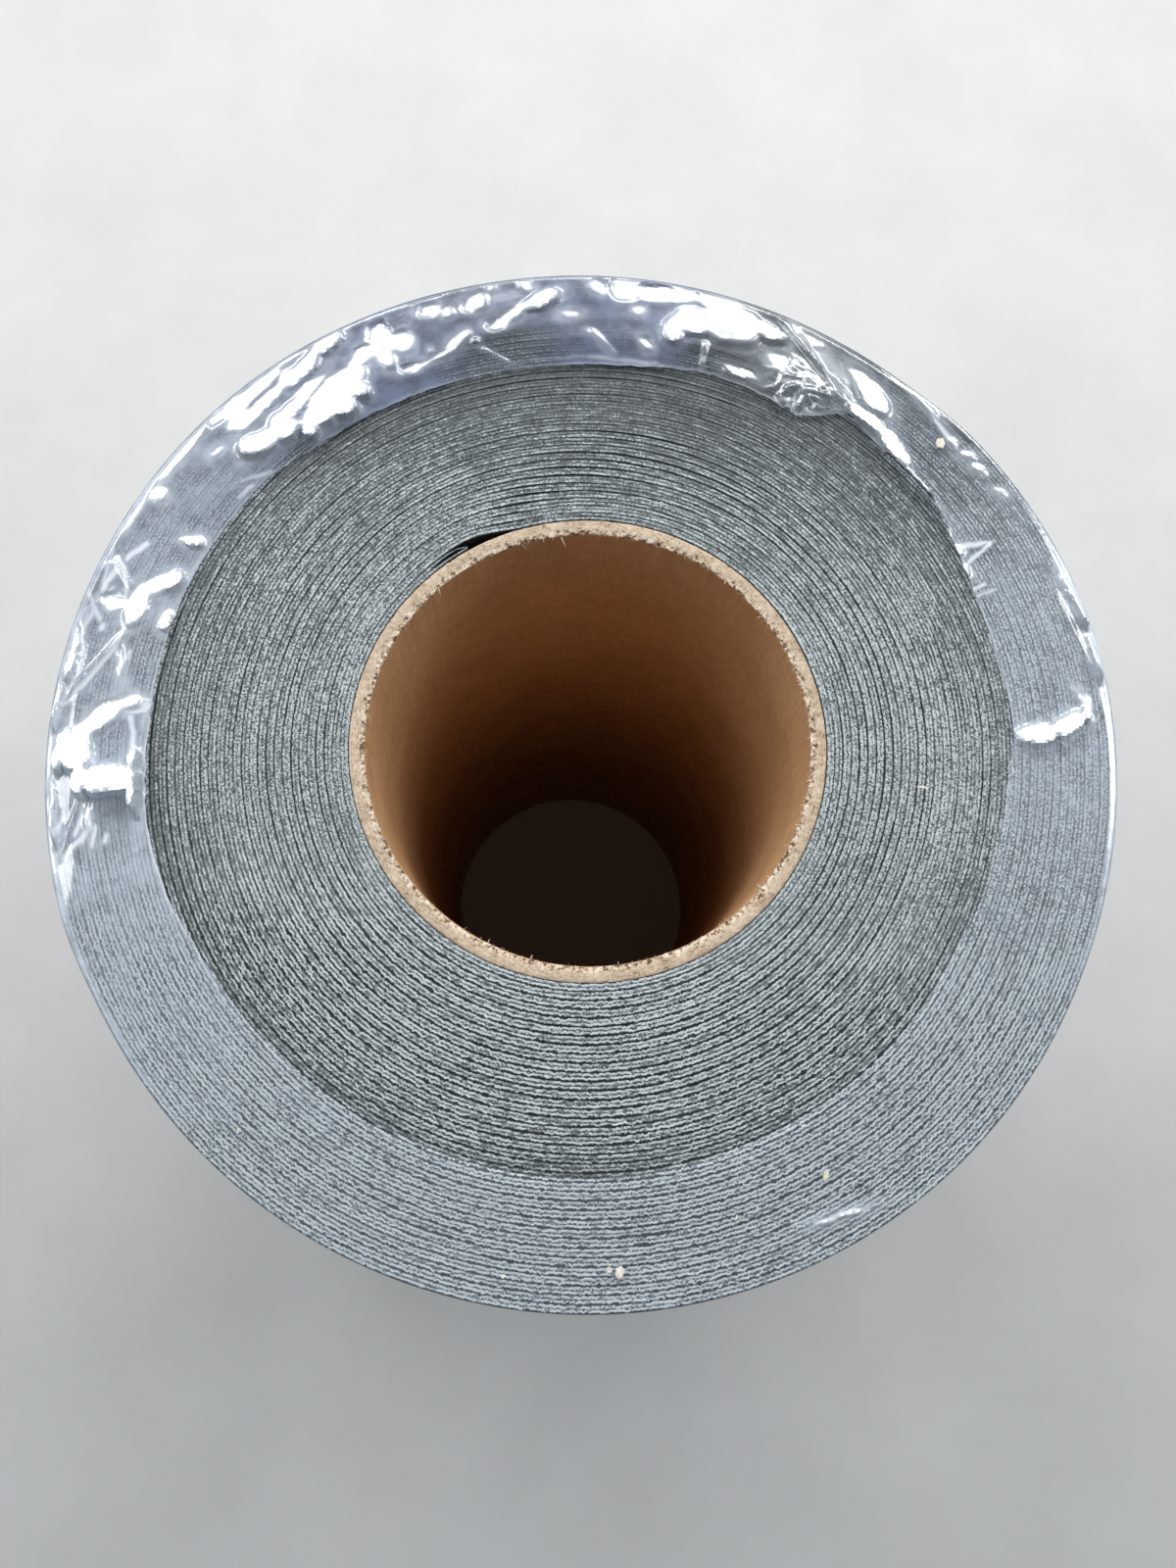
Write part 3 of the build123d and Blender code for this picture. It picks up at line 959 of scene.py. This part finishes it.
# Creases that stand up: angle and radius share of the start and the end, height and width in mm
FOLDS = [
    (183.2, 0.985, 173.5, 0.897, 0.45, 0.4), (168.4, 0.912, 165.4, 0.975, 0.4, 0.4),
    (200.8, 0.99, 193.0, 0.93, 0.35, 0.4), (14.0, 0.985, 26.0, 0.955, 0.25, 0.5),
    (112.0, 0.84, 108.0, 0.795, 0.3, 0.5), (97.0, 0.86, 92.5, 0.8, 0.3, 0.5),
    (81.0, 0.87, 80.6, 0.812, 0.35, 0.5),
]


def creases_and_glints(places):
    """How pale the film is for its creases and its painted glints, from 0 to 1."""
    strayed = places + 0.35 * MM * stray(places, 2.5, 62)
    pale = np.zeros(len(places))
    for strength, creases in PALE_CREASES_AND_GLINTS.items():
        for *ends, width in creases:
            crease = ridge(strayed, ends[:2], ends[2:], strength, width, 0) / MM
            pale = np.maximum(pale, crease)
    return pale


def gathered(places):
    """The lump where the film tore and shrank together: its reach and its crumples."""
    reach = 0
    for angle, share, size, strength in ((67.0, 0.832, 5.0, 1.0), (62.5, 0.858, 3.0, 0.7)):
        away = np.linalg.norm(places - end_place(angle, share), axis=1)
        reach += strength * np.exp(-(away / (size * MM)) ** 2)
    crumple = 1 - 2.2 * np.abs(field(places, 2.8, 90))
    crumple += 0.5 * (1 - 2.2 * np.abs(field(places, 1.4, 91)))
    return np.minimum(reach, 1), crumple


def placed_folds(places):
    """The sharp creases that the photograph shows in the film over the end."""
    relief = np.zeros(len(places))
    for shift in (-1.3, 0.0, 1.1):
        start, end = (60.6 + shift * 0.5, 0.866 + shift * 0.008), (73.5 + shift, 0.982)
        relief += ridge(places, start, end, 0.45, 0.5)
    for *ends, height, width in FOLDS:
        relief += ridge(places, ends[:2], ends[2:], height, width)
    gather, crumple = gathered(places)
    return relief + gather * (0.9 + 0.55 * crumple) * MM


SQUARENESS = 2.4  # of a shining patch: 2 would make it an ellipse


def end_relief(circle, radius, rim, degrees, share, masses):
    """How far the film stands off the end, and a painted glare halo in and round each mass that
    shines.
    """
    places = circle * radius[:, None]
    slack = keyed(FILM_SLACK, degrees)
    relief = slack_height(degrees, share) * (1 + 0.28 * field(places, 9, 50))
    relief += slack * 0.08 * field(places, 4.2, 53) + 0.03 * field(places, 6, 58)
    lean = keyed(FILM_RIM_LEAN, degrees)
    relief = (relief + lean * 0.34 * smooth(share / 0.8)) * MM
    leaning = np.minimum(relief, (rim - radius) * 0.20 + 0.05 * MM)
    relief += lean * (leaning - relief)

    # the masses that shine, with wandering outlines
    warp = stray(places, 5, 54) * 0.8 * MM + stray(places, 2, 56) * 0.35 * MM
    covered, heights, glare_halo = np.zeros((3, len(places)))
    total = 1e-9
    for patches, middle, slope, lift in masses:
        weight = np.zeros(len(places))
        for centre, unit, side, half_length, half_width in patches:
            bent = places - centre + warp * min(1.0, half_width / (1.5 * MM))
            reach = np.abs(bent @ unit / half_length) ** SQUARENESS
            reach += np.abs(bent @ side / half_width) ** SQUARENESS
            soft = max(0.22, 0.40 * MM / half_width)
            past = reach ** (1 / SQUARENESS) - 1
            weight = np.maximum(weight, 1 - smooth(past / soft + 0.5))
            # a painted glare halo: the veil is painted paler in and just round each shining patch
            away = np.maximum(past, 0) * half_width
            glare_halo = np.maximum(glare_halo, np.exp(-((away / (0.9 * MM)) ** 2)))
        covered = np.maximum(covered, weight)
        total = total + weight**6
        heights += weight**6 * ((places - middle) @ slope + lift)
    heights = heights / total + 0.02 * MM * field(places, 2.6, 59)
    relief += (heights - relief) * covered
    relief += placed_folds(places) * (1 - 0.7 * covered)
    at_edge = np.maximum(0.35 + 0.65 * smooth(share / 0.08), covered)
    return relief * at_edge * smooth(0.08 + (rim - radius) / (0.9 * MM)), glare_halo


def film_sleeve(material):
    """The film, from its inner edge on the top end, down the side and in under the bottom."""
    degrees = np.arange(FILM_COLUMNS) * 360 / FILM_COLUMNS
    theta = np.radians(degrees)
    circle = np.stack([np.cos(theta), np.sin(theta)], axis=1)
    edge = keyed(FILM_EDGE, degrees) * ROLL_OUTER
    edge += 0.25 * MM * field(circle * ROLL_OUTER, 3, 60)
    torn = np.exp(-(((degrees - 66) / 5) ** 2))
    edge += torn * 0.9 * MM * field(circle * ROLL_OUTER, 1.6, 61)
    haze_and_reflection, dull, rim_highlight, pale = (
        keyed(pairs, degrees) for pairs in (FILM_HAZE_AND_REFLECTION, FILM_DULL, FILM_RIM_HIGHLIGHT, FILM_EDGE_HIGHLIGHT)
    )
    # drawn tight over the rim, and down to the turn below where each ply ends
    past_inner = (degrees - INNER_TAIL_ANGLE) % 360
    past_outer = (degrees - OUTER_TAIL_ANGLE) % 360
    between = OUTER_TAIL_ANGLE - INNER_TAIL_ANGLE
    step = 2 * LAYER_PITCH * (1 - past_inner / 360) - PLY_SPACING * (past_inner < between)
    bridge = smooth(1 - past_inner / BRIDGE_ANGLE) + smooth(1 - past_outer / BRIDGE_ANGLE)
    bridge *= PLY_SPACING
    snug = LAST_RADIUS - step + bridge + out_of_round(degrees) + 0.10 * MM
    rim = snug - FILM_CORNER
    masses = [shining_mass(shapes) for shapes in SHINING]
    rows, looks = [], []

    def ring(radius, height):
        height = np.broadcast_to(height, theta.shape)
        return np.column_stack([circle * np.reshape(radius, (-1, 1)), height])

    def lay(radius, height, film_haze_and_reflection, lip=0.0, crease=0.0):
        rows.append(ring(radius, height))
        film_haze_and_reflection = np.broadcast_to(film_haze_and_reflection, theta.shape)
        looks.append(np.column_stack([film_haze_and_reflection, dull, np.maximum(pale * lip, crease)]))

    def bow(height):
        """How far the side stands off: long upright ripples and a few slanting pulls."""
        upright, slanting = ring(ROLL_OUTER, height / 7), ring(ROLL_OUTER, height / 1.6)
        inwards = min(height, FILM_TOP - height)
        pleats = np.exp(-inwards / (14 * MM)) * 0.25 * (1 - 2 * np.abs(field(upright, 5, 72)))
        ripple = 0.36 * field(upright, 13, 70) + 0.16 * field(slanting, 9, 71)
        return np.maximum(0.35 + ripple + pleats, 0.0) * smooth(inwards / (9 * MM)) * MM

    def gathers(height):
        """Thin pale creases down the side, strongest near both rims."""
        inwards = min(height, FILM_TOP - height)
        thin = np.clip(1 - np.abs(field(ring(ROLL_OUTER, height / 9), 10, 74)) / 0.05, 0, 1)
        patchy = smooth(0.5 + 1.6 * field(ring(ROLL_OUTER, height), 30, 75))
        return thin * patchy * (0.10 + 0.40 * np.exp(-inwards / (28 * MM)))

    for share in np.linspace(0, 1, FILM_END_ROWS):
        radius = edge + (rim - edge) * share
        relief, glare_halo = end_relief(circle, radius, rim, degrees, share, masses)
        at_edge = float(np.exp(-((share / 0.022) ** 2)))
        height = FILM_TOP + 0.08 * MM + np.maximum(relief, -0.04 * MM)
        veiled = haze_and_reflection.copy()
        for middle, spread, reach in FILM_CLEAR:
            inside = smooth((reach * ROLL_OUTER - radius) / (2.5 * MM) + 0.5)
            veiled *= 1 - 0.8 * inside * np.exp(-(((degrees - middle) / spread) ** 4))
        # a painted highlight along the rim, as a paler veil
        veiled += rim_highlight * smooth((radius - rim) / (0.9 * MM) + 1.2)
        # the creases with their painted glints, and the painted glare halo of the shining masses
        crease = np.maximum(creases_and_glints(circle * radius[:, None]), 0.28 * glare_halo)
        lay(radius, height, veiled, 0.6 * at_edge, crease)
    lifted = rows[-1][:, 2] - FILM_TOP
    for turn in np.linspace(0, pi / 2, 6)[1:]:
        share = turn / (pi / 2)
        radius = rim + FILM_CORNER * sin(turn) + share * bow(FILM_TOP - FILM_CORNER)
        height = FILM_TOP - FILM_CORNER + FILM_CORNER * cos(turn) + lifted * (1 - share)
        # the corner keeps part of the rim's painted highlight
        side_haze_and_highlight = SIDE_HAZE + 0.4 * rim_highlight
        lay(radius, height, (haze_and_reflection + rim_highlight) * (1 - share) + side_haze_and_highlight * share)
    for place in np.linspace(0, pi, FILM_SIDE_ROWS)[1:]:
        height = FILM_TOP / 2 + (FILM_TOP / 2 - FILM_CORNER) * cos(place)
        lay(snug + bow(height), height, SIDE_HAZE, 0.0, gathers(height))
    for turn in np.linspace(pi / 2, pi, 4)[1:]:
        lay(rim + FILM_CORNER * sin(turn), FILM_CORNER + FILM_CORNER * cos(turn), 0.05)
    # the bottom edge wanders like the top one, farther round
    under_edge = np.roll(edge, 370)
    for share in np.linspace(1, 0, 6)[1:]:
        radius = under_edge + (rim - under_edge) * share
        lay(radius, 0.06 * MM * (1 + field(ring(radius, 0.0), 6, 80)), 0.08)
    faces = grid_faces(len(rows), FILM_COLUMNS, closed_columns=True)
    piece = mesh_object("film_sleeve", np.concatenate(rows), faces, material)
    store(piece, "film", np.concatenate(looks))
    return piece


# Dust and shavings: angle and radius share, length and width in mm, and which way they lie
CHIPS = [
    (280.0, 0.94, 2.0, 1.3, 80), (278.9, 0.934, 0.9, 0.8, 10), (48.2, 0.934, 2.0, 1.7, 60),
    (359.0, 0.632, 2.1, 0.4, 0), (304.7, 0.882, 1.9, 0.8, 75), (305.2, 0.792, 0.9, 0.4, 20),
    (293.5, 0.886, 0.9, 0.3, 80), (296.0, 0.884, 0.8, 0.3, 100), (156.0, 0.985, 1.2, 0.9, 40),
    (236.0, 0.93, 0.9, 0.4, 85), (22.0, 0.61, 0.5, 0.4, 50), (268.0, 0.955, 0.7, 0.5, 0),
]


def wood_chips(material):
    """A few slivers of wood that lie on the end."""
    points, faces = [], []
    outline = ((-0.5, -0.1), (-0.22, -0.5), (0.25, -0.42), (0.5, 0.05), (0.15, 0.5), (-0.3, 0.35))
    for angle, share, length, width, lies in CHIPS:
        on_film = share > FILM_REACH - 0.02
        centre = Vector((*end_place(angle, share), FILM_TOP + (0.5 if on_film else 0.15) * MM))
        turn = Matrix.Rotation(radians(lies), 3, "Z")
        base = len(points)
        for level in (-1, 1):
            for x, y in outline:
                jitter = rng.uniform(0.8, 1.2)
                corner = Vector((x * length * jitter, y * width * jitter, 0.15 * level * width))
                points.append(centre + turn @ (corner * MM))
        faces.append(tuple(base + i for i in reversed(range(6))))
        faces.append(tuple(base + 6 + i for i in range(6)))
        for i in range(6):
            j = (i + 1) % 6
            faces.append((base + i, base + j, base + 6 + j, base + 6 + i))
    return mesh_object("wood_chips", points, faces, material)


# The studio
def floor():
    material, nodes = new_material("pale_floor")
    tone = nodes.speckle(nodes.place(), 60, 4.0, 0.6)
    colour = nodes.ramp(tone, (0.3, (0.66, 0.655, 0.64)), (0.7, (0.72, 0.715, 0.70)))
    nodes.surface(nodes.principled(colour, 0.8))
    corners = [(x * FLOOR_HALF, y * FLOOR_HALF, 0) for x, y in ((-1, -1), (1, -1), (1, 1), (-1, 1))]
    mesh_object("floor", corners, [(0, 1, 2, 3)], material)


def softbox(name, azimuth, elevation, half_angles, radiance):
    """A soft lamp seen from the roll's end at these angles, as bright as the radiance."""
    away = direction(radians(azimuth), radians(elevation))
    lamp = bpy.data.lights.new(name, "AREA")
    lamp.shape = "RECTANGLE"
    lamp.size, lamp.size_y = (2 * LAMP_DISTANCE * tan(radians(half)) for half in half_angles)
    lamp.energy = radiance * pi * lamp.size * lamp.size_y
    holder = bpy.data.objects.new(name, lamp)
    holder.location = Vector((0, 0, FILM_TOP)) + away * LAMP_DISTANCE
    holder.rotation_euler = (-away).to_track_quat("-Z", "Y").to_euler()
    bpy.context.scene.collection.objects.link(holder)


def studio():
    world = bpy.data.worlds.new("studio")
    world.use_nodes = True
    nodes = Nodes(world.node_tree)
    background = world.node_tree.nodes["Background"]
    background.inputs["Color"].default_value = (0.82, 0.91, 1.0, 1)
    # darker overhead, so that the level film stays clear, and on the near side
    _, north, up = nodes.split(nodes.add("TexCoord", output="Generated"))
    strength = up.climb(0.70, 0.95, 0.53, 0.14) * north.climb(-0.85, 0.10, 0.30, 1.0)
    world.node_tree.links.new(strength.socket, background.inputs["Strength"])
    bpy.context.scene.world = world
    for lamp in KEY_LAMPS + SIDE_LAMPS:
        softbox(*lamp)
    bpy.context.scene.view_settings.view_transform = "Standard"


def camera():
    """The photograph's view, from above the near side of the roll's top end."""
    view = bpy.data.cameras.new("camera")
    view.sensor_fit = "VERTICAL"
    view.sensor_height = 36
    view.lens = CAMERA_LENS
    holder = bpy.data.objects.new("camera", view)
    tilt = Matrix.Rotation(radians(CAMERA_TILT), 4, "X")
    turn = Matrix.Rotation(radians(CAMERA_TURN), 4, "Z")
    holder.matrix_world = Matrix.Translation(CAMERA_PLACE) @ (tilt @ turn)
    bpy.context.scene.collection.objects.link(holder)
    bpy.context.scene.camera = holder


sheet_black = polythene()
tube_brown = paperboard()
film_clear = clear_film()
dust = wood_dust()

strip = wound_strip(sheet_black)
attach(strip, "root")
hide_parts("membrane_roll")

tube = paper_tube(tube_brown)
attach(tube, "root")
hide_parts("core_tube")

fibres = torn_fibres(tube_brown)
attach(fibres, "root")

sleeve = film_sleeve(film_clear)
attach(sleeve, "root")
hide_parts("wrap_film")

chips = wood_chips(dust)
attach(chips, "root")

floor()
studio()
camera()
